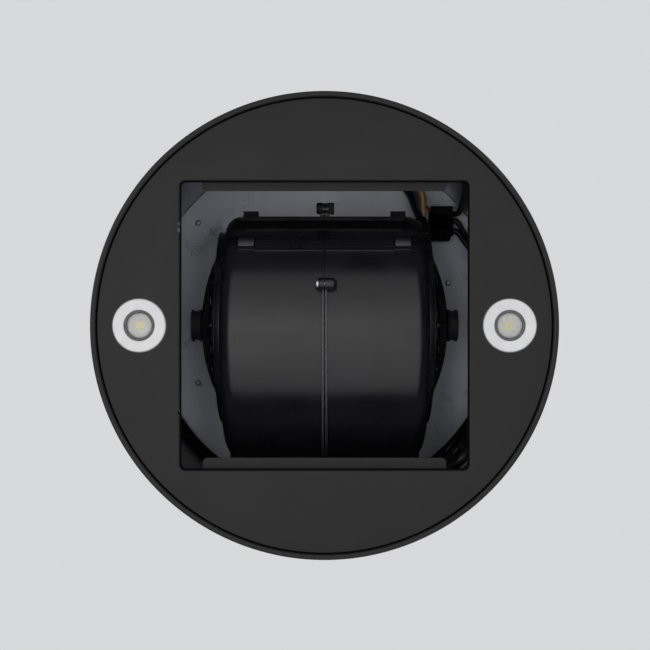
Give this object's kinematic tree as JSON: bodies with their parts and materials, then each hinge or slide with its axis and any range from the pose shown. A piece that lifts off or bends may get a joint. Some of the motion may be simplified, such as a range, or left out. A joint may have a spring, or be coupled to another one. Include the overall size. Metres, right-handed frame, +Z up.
{
  "type": "island range hood",
  "caption": "Round island range hood: a black steel cylinder on a ceiling frame, open at the bottom onto its double-inlet blower, with lamps beside the square filter opening.",
  "frame": {"origin": "centre of the bottom rim of the shell", "axes": "+Z up towards the ceiling, -Y the side with the push buttons, +X to the right seen from below with the buttons at the top"},
  "size_m": [0.38, 0.3822, 0.95],
  "materials": {
    "black_paint": "matt black powder coat",
    "zinc_plate": "galvanised sheet, dull",
    "black_plastic": "satin moulded black",
    "black_rubber": "matt",
    "white_bezel": "satin white enamel",
    "cast_aluminium": "die cast, dull",
    "bright_steel": "zinc plated, bright",
    "clear_plastic": "clear",
    "lamp_board": "white solder mask with a yellow chip",
    "circuit_board": "green solder mask",
    "grey_plastic": "moulded grey",
    "copper_winding": "enamelled copper wire",
    "lead_blue": "insulated wire",
    "lead_brown": "insulated wire",
    "lead_white": "insulated wire",
    "lead_earth": "insulated wire"
  },
  "bodies": {
    "ceiling_frame": {"ceiling_plate": "zinc_plate", "upper_sleeve": "black_paint", "upper_rail_1": "zinc_plate", "upper_rail_2": "zinc_plate", "upper_rail_3": "zinc_plate", "upper_rail_4": "zinc_plate"},
    "hood_body": {"outer_shell": "black_paint", "bottom_panel": "black_paint", "filter_ledge_front": "black_paint", "filter_ledge_back": "black_paint", "top_plate": "zinc_plate", "lower_rail_1": "zinc_plate", "lower_rail_2": "zinc_plate", "lower_rail_3": "zinc_plate", "lower_rail_4": "zinc_plate", "scroll_left": "black_plastic", "scroll_right": "black_plastic", "inlet_guard_left": "black_plastic", "inlet_guard_right": "black_plastic", "hub_bush_left": "black_rubber", "hub_bush_right": "black_rubber", "motor_bearing_left": "bright_steel", "motor_bearing_right": "bright_steel", "scroll_screw": "bright_steel", "motor_axle": "bright_steel", "motor_stator": "copper_winding", "outlet_adapter": "black_plastic", "flap_pin": "bright_steel", "lamp_bezel_left": "white_bezel", "lamp_lens_left": "clear_plastic", "lamp_board_left": "lamp_board", "lamp_heat_sink_left": "cast_aluminium", "lamp_bezel_right": "white_bezel", "lamp_lens_right": "clear_plastic", "lamp_board_right": "lamp_board", "lamp_heat_sink_right": "cast_aluminium", "switch_bank": "grey_plastic", "control_box": "grey_plastic", "control_box_lid": "grey_plastic", "control_board": "circuit_board", "motor_capacitor": "cast_aluminium", "mains_gland": "black_plastic", "connector_block": "black_plastic", "motor_lead_blue": "lead_blue", "motor_lead_brown": "lead_brown", "motor_lead_white": "lead_white", "motor_lead_earth": "lead_earth", "motor_lead_sleeving": "black_rubber", "switch_cable": "black_rubber", "lamp_cable_right": "black_rubber", "lamp_cable_left": "black_rubber"},
    "fan_wheel": {"motor_rotor": "cast_aluminium", "impeller": "black_plastic"},
    "front_flap": {"flap_front": "black_plastic"},
    "back_flap": {"flap_back": "black_plastic"},
    "push_button_1": {"button_1": "black_plastic"},
    "push_button_2": {"button_2": "black_plastic"},
    "push_button_3": {"button_3": "black_plastic"},
    "push_button_4": {"button_4": "black_plastic"},
    "push_button_5": {"button_5": "black_plastic"}
  },
  "joints": [
    {"name": "height_adjust", "type": "slide", "parent": "ceiling_frame", "child": "hood_body", "axis": [0, 0, 1], "range_m": [0, 0.18]},
    {"name": "fan_spin", "type": "hinge", "parent": "hood_body", "child": "fan_wheel", "pos_m": [0, 0, 0.16], "axis": [1, 0, 0], "continuous": true},
    {"name": "front_flap_hinge", "type": "hinge", "parent": "hood_body", "child": "front_flap", "pos_m": [0, 0.0765, 0.3708], "axis": [1, 0, 0], "range_deg": [-75, 0]},
    {"name": "back_flap_hinge", "type": "hinge", "parent": "hood_body", "child": "back_flap", "pos_m": [0, 0.0765, 0.3708], "axis": [1, 0, 0], "range_deg": [0, 75]},
    {"name": "button_1_press", "type": "slide", "parent": "hood_body", "child": "push_button_1", "axis": [0, 1, 0], "range_m": [0, 0.002], "stiffness_N_per_m": 400},
    {"name": "button_2_press", "type": "slide", "parent": "hood_body", "child": "push_button_2", "axis": [0, 1, 0], "range_m": [0, 0.002], "stiffness_N_per_m": 400},
    {"name": "button_3_press", "type": "slide", "parent": "hood_body", "child": "push_button_3", "axis": [0, 1, 0], "range_m": [0, 0.002], "stiffness_N_per_m": 400},
    {"name": "button_4_press", "type": "slide", "parent": "hood_body", "child": "push_button_4", "axis": [0, 1, 0], "range_m": [0, 0.002], "stiffness_N_per_m": 400},
    {"name": "button_5_press", "type": "slide", "parent": "hood_body", "child": "push_button_5", "axis": [0, 1, 0], "range_m": [0, 0.002], "stiffness_N_per_m": 400}
  ]
}
